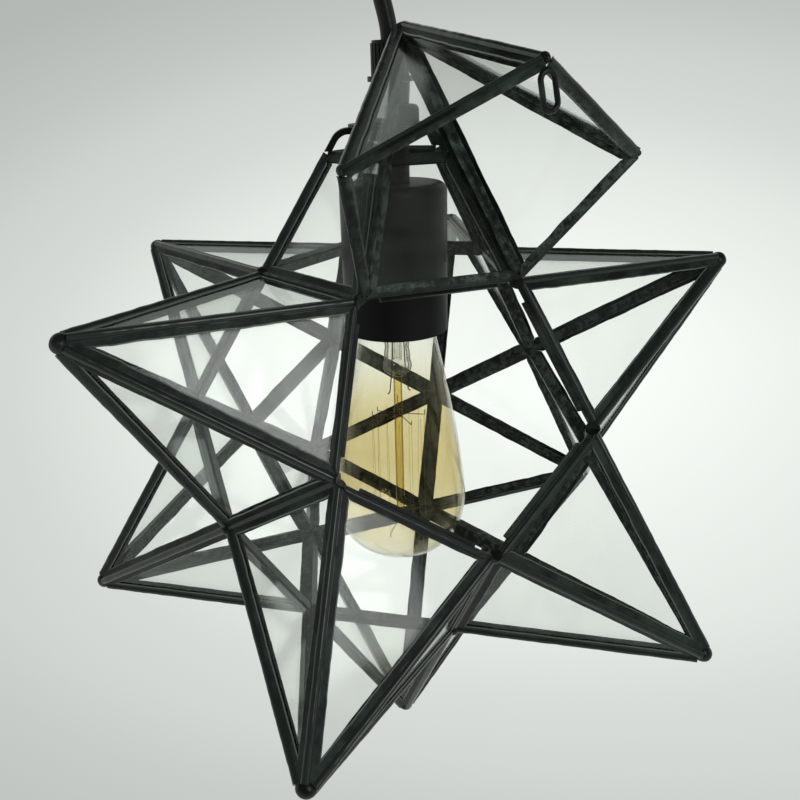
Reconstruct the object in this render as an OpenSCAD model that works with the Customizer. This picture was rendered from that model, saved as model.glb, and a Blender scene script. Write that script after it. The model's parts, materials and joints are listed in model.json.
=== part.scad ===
// Twelve-point star pendant: glass points joined with tinned seams round a screw-cap lamp.
// The ceiling face is z = 0, and everything hangs below it. Lengths are millimetres.
// Geometry: a small stellated dodecahedron. Each point is a five-sided pyramid on one face of the core.

/* [Star] */
// Side of the five-sided foot of each point, which sets the size of the star
edge = 69; // [60:0.5:90]
// Thickness of the glass
glass_t = 2; // [1.5:0.25:3]
// Height of the centre of the star below the ceiling
star_drop = 260; // [250:1:400]

/* [Seams] */
// Width of the tinned foil on the outside of a pane
foil_w = 4.75; // [4:0.25:7]
// Width of the tinned foil on the inside of a pane
foil_in_w = 4; // [3.5:0.25:6.5]
// Thickness of the foil with its solder
foil_t = 0.6; // [0.3:0.1:0.9]
// Solder between a seam line and the edge of the glass
heart_w = 1.9; // [1.7:0.1:2.5]
// Radius of the solder bead along a seam
bead_r = 1.7; // [1.2:0.1:2]
// Radius of the solder ball on a tip
tip_r = 4.4; // [3.5:0.1:5.5]

/* [Vented crown] */
// Height of the glass in the top point, from its foot
vent_h = 50; // [40:1:56]
// Height of the underside of the crown plate above the foot of the top point
crown_h = 60.4; // [58:0.2:64]
// Radius of the crown plate
crown_r = 18.3; // [16:0.1:20]
// Thickness of the crown plate
crown_t = 1.2; // [0.8:0.1:2]
// Width of a crown strip
strip_w = 6; // [4:0.25:8]
// Thickness of a crown strip
strip_t = 2.6; // [1:0.1:3]

/* [Door] */
// Opening of the door at rest, in degrees
door_open = 113.5; // [90:0.5:114]
// Outer radius of the hinge tube
tube_r = 1.6; // [1.4:0.05:2]
// Radius of the hinge wire
pin_r = 0.75; // [0.6:0.05:0.9]
// Radius of the wire of the latch loop and its catch
wire_r = 0.9; // [0.6:0.05:1.1]
// Width of the latch loop
loop_w = 6.6; // [5:0.1:9]
// Length of the latch loop
loop_l = 13; // [9:0.5:16]

/* [Lamp cup] */
// Outer diameter of the cup
cup_d = 46.8; // [42:0.1:52]
// Height of the cup
cup_h = 65; // [60:0.5:72]
// Height of the top of the cup above the centre of the star
cup_top = 114.5; // [112:0.5:118]
// Wall of the cup
cup_wall = 1.2; // [0.8:0.1:2]
// Rounding of the top edge of the cup
cup_round = 4; // [2:0.5:6]
// Radius of the spacer tube over the threaded tube
spacer_r = 7.3; // [7:0.1:10]
// Radius of the threaded tube
nipple_r = 4.9; // [4.7:0.05:5]
// Bore radius of the threaded tube
nipple_bore_r = 3.9; // [3.6:0.05:4]

/* [Lampholder] */
// Radius of the lampholder body
holder_r = 18.5; // [17:0.1:19.5]
// Inner radius of its screw shell
shell_r = 13.5; // [13.45:0.05:13.7]

/* [Cord] */
// Diameter of the cord
cord_d = 7.2; // [6:0.1:7.4]
// Radius of the ribbed cord grip
grip_r = 7.9; // [7:0.1:9]
// Length of the ribbed part of the cord grip
grip_l = 13.5; // [10:0.5:18]

/* [Bulb] */
// Greatest diameter of the bulb
bulb_d = 64; // [58:1:66]
// Radius of the screw cap, over its thread
cap_r = 13.1; // [13:0.05:13.15]
// Height of the widest part of the bulb, from the centre of the star
bulb_mid_z = -34; // [-36:0.5:-32]
// Depth of its rounded end below the widest part
bulb_end = 31.5; // [28:0.5:36]
// Thickness of the bulb's glass
bulb_wall = 1; // [0.6:0.1:1.5]

/* [Ceiling rose] */
// Diameter of the ceiling rose
rose_d = 100; // [90:1:120]
// Height of the ceiling rose
rose_h = 25; // [22:0.5:35]
// Wall of the ceiling rose
rose_wall = 1.2; // [0.8:0.1:2]
// Distance between the two fixing holes of the bracket
fix_pitch = 60; // [50:0.5:70]
// Radius of a fixing hole
fix_hole_r = 2.25; // [2:0.05:2.75]

/* [Hidden] */
$fn = 48;
gap = 0.05;                             // between parts soldered or clamped together
run = 0.3;                              // between parts that move past each other
weld = 0.02;                            // how far the halves of one seam overlap
phi = (1 + sqrt(5)) / 2;
tilt = atan(2);                         // rake of a pane from its foot, and angle between faces of the core
fold = atan(phi);                       // half the angle between two panes that meet
core_r = edge * sqrt(250 + 110 * sqrt(5)) / 20;
foot_in_r = edge / (2 * tan(36));       // from the middle of a foot to its side
foot_out_r = edge / (2 * sin(36));      // from the middle of a foot to its corner
slant = edge / 2 * tan(72);             // height of a pane
ridge_l = phi * edge;
point_h = slant * sin(tilt);
foil_top = foil_t + gap;
foil_deep = glass_t + gap + foil_t;
joint_r = heart_w / sin(36) - gap;      // solder balls at the corners of the core
inner_rake = 1.35;                      // how far the inside of a seam is cut back at its ends
relief_r = 3.35;                        // hollow inside each corner, where the seams stop short
relief_in = 2.2;                        // distance of its middle from the corner
relief = relief_in * [0.3568, 0.491, 0.7947];   // towards the middle of the star
tip_drop = tip_r + run;                 // from the sharp tip to the middle of its ball
vent_y = vent_h / sin(tilt);            // where the top panes end, up the pane
vent_w = edge * (1 - vent_y / slant);
cap_strip = 0.8;                        // how far a crossbar stands past the glass line

hinge_off_door = foil_top + gap + tube_r;      // hinge axis above the door's pane
hinge_off_frame = foil_top + run + tube_r;     // hinge axis in front of the frame's pane
hinge_y = -foot_in_r + (cos(tilt) * hinge_off_door - hinge_off_frame) / sin(tilt);
hinge_z = core_r + hinge_off_door;
pin_leg = edge / 2 - 5;                 // where the hinge wire turns down to the frame
tube_half = pin_leg - pin_r - run;
loop_lean = 12;                         // sideways lean of the latch loop, in degrees
loop_in = 3.4;                          // distance of the latch loop from the far corner of the door
ledge = 1.2;                            // how far the rim stands into the door opening
rim_back = 0.6;                         // distance of the rim's inner edge from the side
ledge_in = 9;                           // distance of the ledge from the corners
door_lift = run / 2;                    // door and frame each stay this far from the split
door_ball_x = 1.84;                     // distance of a corner ball of the door from the corner
door_ball_r = door_ball_x * sin(fold) * sin(72) - door_lift;
edge_bead_r = 1.1;                      // bead along the door opening and along the door's foot
bead_up = 2.1;

crown_z = core_r + crown_h;             // underside of the crown plate
nut_r = 11.7;
nut_h = 7.5;
nut_z = crown_z + crown_t + gap;
base_z = nut_z + nut_h + gap;
base_h = 8.6;
collar_h = 2.2;
collar_r = 9.5;
grip_z = base_z + base_h + gap;         // underside of the collar
cord_z = grip_z + collar_h + grip_l;    // where the cord leaves the grip
cup_bottom = cup_top - cup_h;
nipple_low = cup_top - 12;
nipple_top = grip_z - 3;
holder_top = nipple_low + 4;
holder_low = cup_bottom + 6;
shell_low = holder_low + 2;
shell_h = 24;
shell_wall = 0.5;
contact_z = shell_low + shell_h + 1.6;
cap_low = holder_low - 0.5;
cap_h = contact_z - run - cap_low;
neck_r = cap_r - 0.9;
cord_bore_r = cord_d / 2 + 0.2;

rose_low = -rose_h;
rose_grip_h = 12;
rose_grip_r = 7;
rose_end_z = rose_low - rose_grip_h;    // where the cord enters the rose's grip
bracket_t = 2;
bracket_w = 18;
bracket_l = rose_d - 2 * rose_wall - 2.4;

// Names of the points: six upper, then six lower, in the order of point_at
POINTS = ["top", "door", "upper_right", "upper_back_right", "upper_back_left", "upper_left",
    "bottom", "lower_back", "lower_right", "lower_front_right", "lower_front_left", "lower_left"];

black = [0.10, 0.11, 0.11];
tinned = [0.17, 0.18, 0.18];
clear = [0.82, 0.88, 0.84, 0.35];

// Places

module star() translate([0, 0, -star_drop]) children();

// Stands the children, drawn as the top point, on face i of the core
module point_up(i)
    if (i == 0) children();
    else rotate([0, 0, 72 * (i - 1)]) rotate([tilt, 0, 0]) rotate([0, 0, 180]) children();
module point_at(i)
    if (i < 6) point_up(i) children();
    else rotate([180, 0, 0]) point_up(i - 6) children();

// Turns the children, drawn with the door shut, to the opening of the door at rest
module door_pose()
    translate([0, hinge_y, hinge_z]) rotate([-door_open, 0, 0]) translate([0, -hinge_y, -hinge_z])
        children();

// Flat frame of pane k: x along its foot, y up the pane, z out of its outer face
module pane_at(k) rotate([0, 0, 72 * k]) translate([-edge / 2, -foot_in_r, core_r]) rotate([tilt, 0, 0])
    children();

// The same for the seam up its right side, from the foot to the tip
module ridge_at(k) pane_at(k) translate([edge, 0, 0]) rotate([0, 0, 108]) children();

// Glass

// Half the width of a pane's glass at height y
function pane_half(y) = (slant - y) / tan(72) - heart_w / sin(72);

module pane(top_y) {
    half_low = pane_half(heart_w);
    half_top = pane_half(top_y);
    translate([0, 0, -glass_t]) linear_extrude(glass_t)
        polygon([[edge / 2 - half_low, heart_w], [edge / 2 + half_low, heart_w],
            [edge / 2 + half_top, top_y], [edge / 2 - half_top, top_y]]);
}

module glass_point(i) {
    top_y = i == 0 ? vent_y - heart_w + cap_strip : slant - (tip_drop + tip_r) / sin(tilt) * 0.98;
    color(clear) for (k = [0:4]) pane_at(k) pane(top_y);
}

// Seams

// Outline of one half of a seam across a pane: side 1 on a ridge, -1 in a valley
function seam_outline(side) = let (b = side / tan(fold)) [
    [-b * foil_top - weld, foil_top], [foil_w, foil_top], [foil_w, gap], [heart_w - gap, gap],
    [heart_w - gap, -glass_t - gap], [foil_in_w, -glass_t - gap], [foil_in_w, -foil_deep],
    [b * foil_deep - weld, -foil_deep]];

// Outline of the frame's rim round the door; the split from the door is half way between the panes
function rim_outline() = [
    [foil_top / tan(fold) + door_lift / sin(fold), foil_top], [foil_w, foil_top], [foil_w, gap],
    [heart_w - gap, gap], [heart_w - gap, -glass_t - gap], [foil_in_w, -glass_t - gap],
    [foil_in_w, -foil_deep], [rim_back, -foil_deep], [rim_back, -door_lift],
    [door_lift / sin(fold), -door_lift]];

// Outline of the door's foot, which stands flat on the ledge of the rim when the door is shut
function foot_outline() = [
    [foil_top / tan(fold) + door_lift / sin(fold), foil_top], [foil_w, foil_top], [foil_w, gap],
    [heart_w - gap, gap], [heart_w - gap, -glass_t - gap], [foil_in_w, -glass_t - gap],
    [foil_in_w, -foil_deep], [foil_deep / tan(tilt) + door_lift / sin(tilt), -foil_deep],
    [door_lift / sin(fold), 0]];

// Outline of a crossbar along the top of a vented pane; y runs down the pane
function crossbar_outline() = [
    [-cap_strip, foil_top], [foil_w - 1.5, foil_top], [foil_w - 1.5, gap], [heart_w - cap_strip - gap, gap],
    [heart_w - cap_strip - gap, -glass_t - gap], [foil_in_w - 1, -glass_t - gap],
    [foil_in_w - 1, -foil_deep], [-cap_strip, -foil_deep]];

// Cuts an outline, swept along x, to the mitres of a pane whose corners are bisected at a0 and a1
module mitred(len, a0, a1, end_cut) {
    w = foil_w + 1;
    d = foil_deep;
    intersection() {
        rotate([90, 0, 90]) linear_extrude(len) children();
        translate([0, 0, -foil_deep - 1]) linear_extrude(foil_deep + foil_top + 3)
            polygon([[gap / 2, 0], [gap / 2 + w / tan(a0), w], [len - gap / 2 - w / tan(a1), w],
                [len - gap / 2 - end_cut, end_cut * tan(a1)], [len - gap / 2 - end_cut - d * inner_rake, -d],
                [gap / 2 + d * inner_rake, -d]]);
    }
}

module bead(from, to, r) translate([from, 0, 0]) rotate([0, 90, 0]) cylinder(r = r, h = to - from);

module ridge_seam() {
    end_cut = tip_drop * 1.05;
    difference() {
        union() {
            mitred(ridge_l, 36, 18, end_cut) polygon(seam_outline(1));
            mirror([0, sin(fold), cos(fold)]) mitred(ridge_l, 36, 18, end_cut) polygon(seam_outline(1));
            bead(joint_r * 0.8, ridge_l - end_cut, bead_r);
        }
        sphere(r = joint_r + gap);
        translate([-relief[0], relief[1], -relief[2]]) sphere(r = relief_r);
    }
}

module top_ridge_seam() {
    len = vent_y / sin(72);
    difference() {
        union() {
            mitred(len, 36, 54, 0) polygon(seam_outline(1));
            mirror([0, sin(fold), cos(fold)]) mitred(len, 36, 54, 0) polygon(seam_outline(1));
            bead(joint_r * 0.8, len, bead_r);
        }
        sphere(r = joint_r + gap);
        translate([-relief[0], relief[1], -relief[2]]) sphere(r = relief_r);
    }
}

// The room for the solder balls at both corners of a side
module seam_ends() for (m = [0, 1]) translate([m * edge, 0, 0]) mirror([m, 0, 0]) {
    sphere(r = joint_r + gap);
    translate([relief[0], -relief[1], -relief[2]]) sphere(r = relief_r);
}

module valley_seam() {
    difference() {
        union() {
            mitred(edge, 36, 36, 0) polygon(seam_outline(-1));
            mirror([0, -sin(fold), cos(fold)]) mitred(edge, 36, 36, 0) polygon(seam_outline(-1));
            bead(joint_r * 0.8, edge - joint_r * 0.8, bead_r);
        }
        seam_ends();
    }
}

// Half seam along a side of the door opening, on the frame or on the door, with or without a bead
module edge_seam(outline, beaded) {
    difference() {
        mitred(edge, 36, 36, 0) {
            polygon(outline);
            if (beaded) intersection() {
                translate([bead_up, foil_top]) circle(r = edge_bead_r);
                translate([0, 2 * gap]) square([foil_w, foil_w]);
            }
        }
        seam_ends();
    }
}

// Ledge behind the door's foot
module ledge_bar() translate([ledge_in, -ledge, -foil_deep])
    cube([edge - 2 * ledge_in, ledge + rim_back + gap, foil_deep - door_lift]);

module tip_hole() translate([0, 0, core_r + point_h - tip_drop]) sphere(r = tip_r + gap);

module ridges_point(i) color(tinned) difference() {
    for (k = [0:4]) ridge_at(k) ridge_seam();
    tip_hole();
}

module ridges_vented() color(tinned) for (k = [0:4]) ridge_at(k) top_ridge_seam();

module vent_crossbars() color(tinned) star() for (k = [0:4]) intersection() {
    pane_at(k) translate([edge / 2 + vent_w / 2, vent_y, 0]) rotate([0, 0, 180]) mitred_crossbar();
    pane_sector(k);
}

// Its ends are mitred to the ridges and stop short of their beads
module mitred_crossbar() intersection() {
    end = bead_r;
    rotate([90, 0, 90]) linear_extrude(vent_w) polygon(crossbar_outline());
    translate([0, 0, -foil_deep - 1]) linear_extrude(foil_deep + foil_top + 2)
        polygon([[end, -cap_strip - 1], [end, (end - gap / 2) * tan(54)],
            [gap / 2 + foil_w / tan(54), foil_w], [vent_w - gap / 2 - foil_w / tan(54), foil_w],
            [vent_w - end, (end - gap / 2) * tan(54)], [vent_w - end, -cap_strip - 1]]);
}

// Everything on the side of pane k, up to the planes of its two ridges
module pane_sector(k) rotate([0, 0, 72 * k]) linear_extrude(core_r + point_h)
    polygon([[0, -gap], [-edge * tan(36), -gap - edge], [edge * tan(36), -gap - edge]]);

// Seams of the core, named by a point and the side of its foot that they lie on
module valleys(list) color(tinned) star() for (s = list) point_at(s[0]) pane_at(s[1]) valley_seam();

module valleys_upper() valleys([[0, 1], [0, 2], [0, 3], [0, 4], [3, 1], [4, 1], [5, 1]]);
module valleys_waist() valleys([for (i = [2:5]) for (k = [2, 3]) [i, k]]);
module valleys_lower() valleys([for (k = [0:4]) [6, k], for (i = [7:11]) [i, 1]]);

// Sides of the frame round the door: the hinged one first
RIM = [[0, 0], [2, 1], [5, 4], [9, 3], [10, 2]];

module opening_rim() color(tinned) star() for (n = [0:4]) point_at(RIM[n][0]) pane_at(RIM[n][1]) {
    edge_seam(rim_outline(), n > 0);
    ledge_bar();
}

module door() star() door_pose() point_at(1) children();

module door_foot_rim() color(tinned) door() for (k = [0:4]) pane_at(k) edge_seam(foot_outline(), k > 0);

// The space of the door, seen from the middle of the star: everything between its five split planes
module door_wedge(k, grow) rotate([0, 0, 72 * k]) rotate([90 - fold, 0, 0])
    translate([-edge, -grow, 0]) cube([2 * edge, 2 * edge, 4 * edge]);
module corner_at(k) rotate([0, 0, 72 * k - 54]) translate([foot_out_r, 0, core_r]) children();

// Corner balls of the core, named by a point and a corner of its foot
module core_solder() color(black) star() {
    for (k = [1:3]) point_at(0) corner_at(k) sphere(r = joint_r);
    for (i = [2:5]) point_at(i) corner_at(2) sphere(r = joint_r);
    for (i = [3:5]) point_at(i) corner_at(1) sphere(r = joint_r);
    for (k = [0:4]) point_at(6) corner_at(k) sphere(r = joint_r);
    for (k = [0:4]) point_at(1) difference() {
        corner_at(k) sphere(r = joint_r);
        intersection() {
            door_wedge(k, door_lift);
            door_wedge(k + 1, door_lift);
        }
    }
}

// Corners and tip of the door
module door_solder() color(black) door() {
    for (k = [0:4]) ridge_at(k) translate([door_ball_x, 0, 0]) sphere(r = door_ball_r);
    tip_ball();
}

module tip_ball() translate([0, 0, core_r + point_h - tip_drop]) sphere(r = tip_r);

module tip_solder() color(black) star() for (i = [2:11]) point_at(i) tip_ball();

// Points

module glass_top() star() glass_point(0);
module ridges_top() star() ridges_vented();
module glass_door() door() glass_point(1);
module ridges_door() door() ridges_point(1);

module glass_upper_right() star() point_at(2) glass_point(2);
module glass_upper_back_right() star() point_at(3) glass_point(3);
module glass_upper_back_left() star() point_at(4) glass_point(4);
module glass_upper_left() star() point_at(5) glass_point(5);
module glass_bottom() star() point_at(6) glass_point(6);
module glass_lower_back() star() point_at(7) glass_point(7);
module glass_lower_right() star() point_at(8) glass_point(8);
module glass_lower_front_right() star() point_at(9) glass_point(9);
module glass_lower_front_left() star() point_at(10) glass_point(10);
module glass_lower_left() star() point_at(11) glass_point(11);
module ridges_upper_right() star() point_at(2) ridges_point(2);
module ridges_upper_back_right() star() point_at(3) ridges_point(3);
module ridges_upper_back_left() star() point_at(4) ridges_point(4);
module ridges_upper_left() star() point_at(5) ridges_point(5);
module ridges_bottom() star() point_at(6) ridges_point(6);
module ridges_lower_back() star() point_at(7) ridges_point(7);
module ridges_lower_right() star() point_at(8) ridges_point(8);
module ridges_lower_front_right() star() point_at(9) ridges_point(9);
module ridges_lower_front_left() star() point_at(10) ridges_point(10);
module ridges_lower_left() star() point_at(11) ridges_point(11);

// Hinge and latch

module hinge_tube() color(tinned) star() door_pose() translate([-tube_half, hinge_y, hinge_z])
    rotate([0, 90, 0]) difference() {
        cylinder(r = tube_r, h = 2 * tube_half);
        translate([0, 0, -1]) cylinder(r = pin_r + gap, h = 2 * tube_half + 2);
    }

module hinge_pin() color([0.45, 0.45, 0.44]) star() {
    leg = hinge_off_frame - foil_top - gap;
    translate([-pin_leg, hinge_y, hinge_z]) rotate([0, 90, 0]) cylinder(r = pin_r, h = 2 * pin_leg);
    for (x = [-pin_leg, pin_leg]) {
        translate([x, hinge_y, hinge_z]) sphere(r = pin_r);
        translate([x, hinge_y, hinge_z]) rotate([tilt, 0, 0]) translate([0, 0, -leg])
            cylinder(r = pin_r, h = leg);
    }
}

// Wire loop under the far corner of the door, which hangs straight down while the door is open
module latch_loop() color(black) door()
    translate([0, foot_out_r - loop_in, core_r + door_lift - gap - wire_r])
    rotate([tilt - door_open, 0, 0]) rotate([0, loop_lean, 0]) {
        bow = loop_w / 2 - wire_r;
        leg = loop_l - loop_w;
        translate([0, 0, -bow]) rotate([90, 0, 0]) half_ring(bow);
        translate([0, 0, -bow - leg]) rotate([-90, 0, 0]) half_ring(bow);
        for (x = [-bow, bow]) translate([x, 0, -bow - leg]) cylinder(r = wire_r, h = leg);
    }

module half_ring(r) difference() {
    rotate_extrude() translate([r, 0]) circle(r = wire_r);
    translate([-2 * r, -4 * r, -2 * r]) cube(4 * r);
}

// Small arch of wire inside the corner of the frame, where the loop snaps in
module catch_arch() color(black) star() translate([0, -point_h, foot_out_r - core_r]) rotate([-fold, 0, 0])
    translate([0, 5.6, foil_deep / sin(fold) + gap]) {
        arch = 2;
        rise = 1.6;
        for (y = [-arch, arch]) translate([0, y, 0]) cylinder(r = wire_r, h = rise);
        translate([0, 0, rise]) rotate([0, 0, 90]) rotate([90, 0, 0]) half_ring(arch);
    }

// Crown

// Strips that carry the ridges of the top point on to the crown plate
module crown_strips() color(tinned) star() for (k = [0:4]) rotate([0, 0, 72 * k - 54]) rotate([90, 0, 0])
    linear_extrude(strip_w, center = true) strip_outline();

module strip_outline() {
    bend = 7;
    top = crown_z - gap - strip_t / 2;
    bend_z = top - bend;
    line_x = foot_out_r * (1 - (top - bend * (1 - cos(fold)) - core_r) / point_h);
    bend_x = line_x - bend * sin(fold);
    intersection() {
        union() {
            translate([bend_x, bend_z]) difference() {
                circle(r = bend + strip_t / 2);
                circle(r = bend - strip_t / 2);
                translate([-2 * bend, -2 * bend]) square([2 * bend, 4 * bend]);
                rotate(90 - fold) translate([-2 * bend, -4 * bend]) square([4 * bend, 4 * bend]);
            }
            translate([line_x, top - bend * (1 - cos(fold))]) rotate(90 - fold)
                translate([-strip_t / 2, -12]) square([strip_t, 12.01]);
            translate([spacer_r + 2, top - strip_t / 2]) square([bend_x - spacer_r - 1.99, strip_t]);
        }
        translate([0, core_r + vent_h + 1.1]) square([60, 60]);
    }
}

module ring(r, bore, h) difference() {
    cylinder(r = r, h = h);
    translate([0, 0, -1]) cylinder(r = bore, h = h + 2);
}

module crown_plate() color(black) star() translate([0, 0, crown_z]) ring(crown_r, nipple_r + gap, crown_t);

module clamp_nut() color(black) star() translate([0, 0, nut_z]) rotate_extrude()
    translate([nipple_r + gap, 0]) {
        w = nut_r - nipple_r - gap;
        square([w - 2.5, nut_h]);
        square([w, nut_h - 2.5]);
        translate([w - 2.5, nut_h - 2.5]) circle(r = 2.5);
    }

module spacer_tube() color(black) star() translate([0, 0, cup_top + gap])
    ring(spacer_r, nipple_r + gap, crown_z - cup_top - 2 * gap);

module threaded_tube() color([0.70, 0.70, 0.68]) star() translate([0, 0, nipple_low])
    ring(nipple_r, nipple_bore_r, nipple_top - nipple_low);

// Lampholder

module lamp_cup() color(black) star() translate([0, 0, cup_bottom]) difference() {
    cup_shape(cup_d / 2, cup_h, cup_round);
    translate([0, 0, -1]) cup_shape(cup_d / 2 - cup_wall, cup_h - cup_wall + 1, cup_round - cup_wall);
    cylinder(r = nipple_r + gap, h = cup_h + 1);
}

module cup_shape(r, h, round) rotate_extrude() {
    square([r - round, h]);
    square([r, h - round]);
    translate([r - round, h - round]) intersection() {
        circle(r = round);
        square(round);
    }
}

module holder_body() color([0.16, 0.15, 0.14]) star() difference() {
    translate([0, 0, holder_low]) cylinder(r = holder_r, h = holder_top - holder_low);
    translate([0, 0, holder_low - 1])
        cylinder(r = shell_r + shell_wall + gap, h = shell_low + shell_h - holder_low + 1 + gap);
    translate([0, 0, holder_low - 1]) cylinder(r = 6, h = contact_z + 5 - holder_low + 1);
    translate([0, 0, nipple_low - gap]) cylinder(r = nipple_r + gap, h = 20);
    cylinder(r = cord_bore_r, h = holder_top + 1);
}

module screw_shell() color([0.75, 0.62, 0.30]) star() translate([0, 0, shell_low])
    ring(shell_r + shell_wall, shell_r, shell_h);

module centre_contact() color([0.75, 0.62, 0.30]) star() {
    translate([0, 0, contact_z]) cylinder(r = 4, h = 1);
    translate([0, 0, contact_z + 1]) cylinder(r = 2, h = 4 - gap);
}

module grip_base() color(black) star() translate([0, 0, base_z]) difference() {
    cylinder(r1 = 7.6, r2 = 8.15, h = base_h);
    translate([0, 0, -1]) cylinder(r = nipple_r + gap, h = base_h + 2);
}

// Ribbed grip that clamps the cord
module cord_grip() color(black) star() translate([0, 0, grip_z]) difference() {
    union() {
        cylinder(r = collar_r, h = collar_h);
        cylinder(r = grip_r - 0.5, h = collar_h + grip_l);
        for (a = [0:15:345]) rotate([0, 0, a]) translate([grip_r - 1.2, -0.55, collar_h - 0.1])
            cube([1.2, 1.1, grip_l - 0.9]);
    }
    translate([0, 0, -1]) cylinder(r = cord_bore_r, h = collar_h + grip_l + 2);
}

module inner_cord() color([0.06, 0.06, 0.06]) {
    star() translate([0, 0, contact_z + 6]) cylinder(r = cord_d / 2, h = cord_z - gap - contact_z - 6);
    translate([0, 0, rose_end_z + gap]) cylinder(r = cord_d / 2, h = block_z - gap - rose_end_z - gap);
}

// Cord

cord_low = cord_z - star_drop;
cord_len = rose_end_z - cord_low - 2 * gap;
cord_lean = 4.6;                         // how far the cord bows to the left
cord_rings = 24;
cord_sides = 12;
cord_pts = [for (n = [0:cord_rings]) let (t = n / cord_rings)
    [-cord_lean * pow(sin(180 * t), 2), 0, cord_low + gap + cord_len * t]];
function cord_dir(n) = let (d = cord_pts[min(n + 1, cord_rings)] - cord_pts[max(n - 1, 0)]) d / norm(d);
function cord_ring(n) = let (d = n == 0 || n == cord_rings ? [0, 0, 1] : cord_dir(n), u = [d[2], 0, -d[0]])
    [for (a = [0:360 / cord_sides:359]) cord_pts[n] + cord_d / 2 * (cos(a) * u + sin(a) * [0, 1, 0])];

module cord() color([0.06, 0.06, 0.06]) polyhedron(
    points = [for (n = [0:cord_rings]) each cord_ring(n)],
    faces = concat([[for (a = [0:cord_sides - 1]) a]],
        [for (n = [0:cord_rings - 1]) for (a = [0:cord_sides - 1])
            let (b = (a + 1) % cord_sides, m = n * cord_sides)
            [m + a, m + cord_sides + a, m + cord_sides + b, m + b]],
        [[for (a = [cord_sides - 1:-1:0]) cord_rings * cord_sides + a]]));

// Bulb

bulb_neck_z = 45.3;
bulb_neck_r = bulb_d * 0.284;
bulb_low = bulb_mid_z - bulb_end;
function bulb_r(z) =
    z < bulb_mid_z ? bulb_d / 2
        * pow(max(0, 1 - pow((bulb_mid_z - z) / (bulb_mid_z - bulb_low), 2.4)), 1 / 2.4)
    : z < bulb_neck_z ? bulb_neck_r + (bulb_d / 2 - bulb_neck_r)
        * (1 - pow((z - bulb_mid_z) / (bulb_neck_z - bulb_mid_z), 1.33))
    : neck_in + (bulb_neck_r - neck_in)
        * pow(max(0, 1 - pow((z - bulb_neck_z) / (neck_z - bulb_neck_z), 1.7)), 1 / 1.7);
neck_in = neck_r - gap - 0.2;
neck_z = cap_low - 0.4;
neck_top = cap_low + 6;
bulb_levels = concat([for (a = [0:9:81]) bulb_mid_z - bulb_end * cos(a)],
    [for (n = [0:9]) bulb_mid_z + n * (bulb_neck_z - bulb_mid_z) / 10],
    [for (n = [0:5]) bulb_neck_z + (neck_z - bulb_neck_z) * sin(n * 18)]);
function bulb_in(z) = z < bulb_low + bulb_wall ? 0 : max(0, bulb_r(z) - bulb_wall);

module bulb_glass() color([0.85, 0.80, 0.62, 0.3]) star() rotate_extrude() polygon(concat(
    [for (z = bulb_levels) [bulb_r(z), z]], [[neck_in, neck_top], [neck_in - bulb_wall, neck_top]],
    [for (n = [len(bulb_levels) - 1:-1:1]) let (z = bulb_levels[n]) [bulb_r(z) - bulb_wall, z]],
    [[0, bulb_low + bulb_wall]]));

module bulb_cap() color([0.80, 0.70, 0.40]) star() {
    difference() {
        union() {
            translate([0, 0, cap_low]) cylinder(r = neck_r, h = cap_h - 5);
            for (n = [0:4]) translate([0, 0, cap_low + 4 + 3.6 * n]) rotate_extrude()
                translate([cap_r - 1.5, 0]) circle(r = 1.5);
            translate([0, 0, cap_low + cap_h - 5]) cylinder(r1 = neck_r, r2 = 5.2, h = 3.4);
            translate([0, 0, cap_low + cap_h - 1.65]) cylinder(r = 4.6, h = 1.65);
        }
        translate([0, 0, cap_low - 1]) cylinder(r = neck_r - 0.2, h = cap_h - 5.5);
    }
}

stem_low = 25.5;
stem_r = 7.1;
stem_in_r = 6;
stem_round = 3;                         // middle of the stem's closed end above stem_low
flange_t = 1.2;
module bulb_stem() color(clear) star() {
    translate([0, 0, stem_low + stem_in_r])
        ring(stem_r - 2 * gap, stem_in_r, neck_top - 2 - stem_low - stem_in_r);
    translate([0, 0, neck_top - 3]) ring(neck_in - bulb_wall - gap, stem_in_r, flange_t);
    translate([0, 0, stem_low + stem_round]) sphere(r = stem_r);
}

rod_low = -47;
hook_z = 7;
hook_low_z = -53;
cage_r = 12.5;
rod_r = 2;
hook_r = 0.3;
button_r = 2.8;                         // glass button that holds the upper hooks
button_low_r = 3.5;
button_low_z = hook_low_z + 3.2;
module filament_rod() color([0.80, 0.55, 0.25]) star() {
    translate([0, 0, rod_low]) cylinder(r = rod_r, h = stem_low + stem_round - stem_r - gap - rod_low);
    translate([0, 0, hook_z]) sphere(r = button_r);
    translate([0, 0, button_low_z]) sphere(r = button_low_r);
    for (a = [0:30:330]) for (z = [hook_z, button_low_z])
        rotate([0, 0, a]) translate([0, 0, z]) rotate([0, 90, 0]) cylinder(r = hook_r, h = cage_r);
}

wire_fine_r = 0.25;
module filament() color([0.85, 0.50, 0.20]) star() for (a = [0:30:330]) rotate([0, 0, a])
    translate([cage_r + wire_fine_r + gap, 0, button_low_z - 1])
        cylinder(r = wire_fine_r, h = hook_z + 2 - button_low_z);

// Ceiling rose

module rose_cup() color(black) difference() {
    translate([0, 0, -rose_h]) mirror([0, 0, 1]) translate([0, 0, -rose_h]) cup_shape(rose_d / 2, rose_h, 4);
    translate([0, 0, -rose_h + rose_wall]) mirror([0, 0, 1]) translate([0, 0, -rose_h - 1])
        cup_shape(rose_d / 2 - rose_wall, rose_h + 1, 4 - rose_wall);
    translate([0, 0, -rose_h - 1]) cylinder(r = 5 + gap, h = 10);
    for (a = [0, 180]) rotate([0, 0, a]) translate([bracket_l / 2, 0, screw_z]) rotate([0, 90, 0])
        cylinder(r = side_screw_r + gap, h = rose_d);
}

screw_z = -12;
side_screw_r = 2;
head_r = 3.5;
head_h = 2.2;
ear_t = 2;
ear_h = 18;
block_z = -14;
block_l = 24;
block_w = 14;

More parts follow.
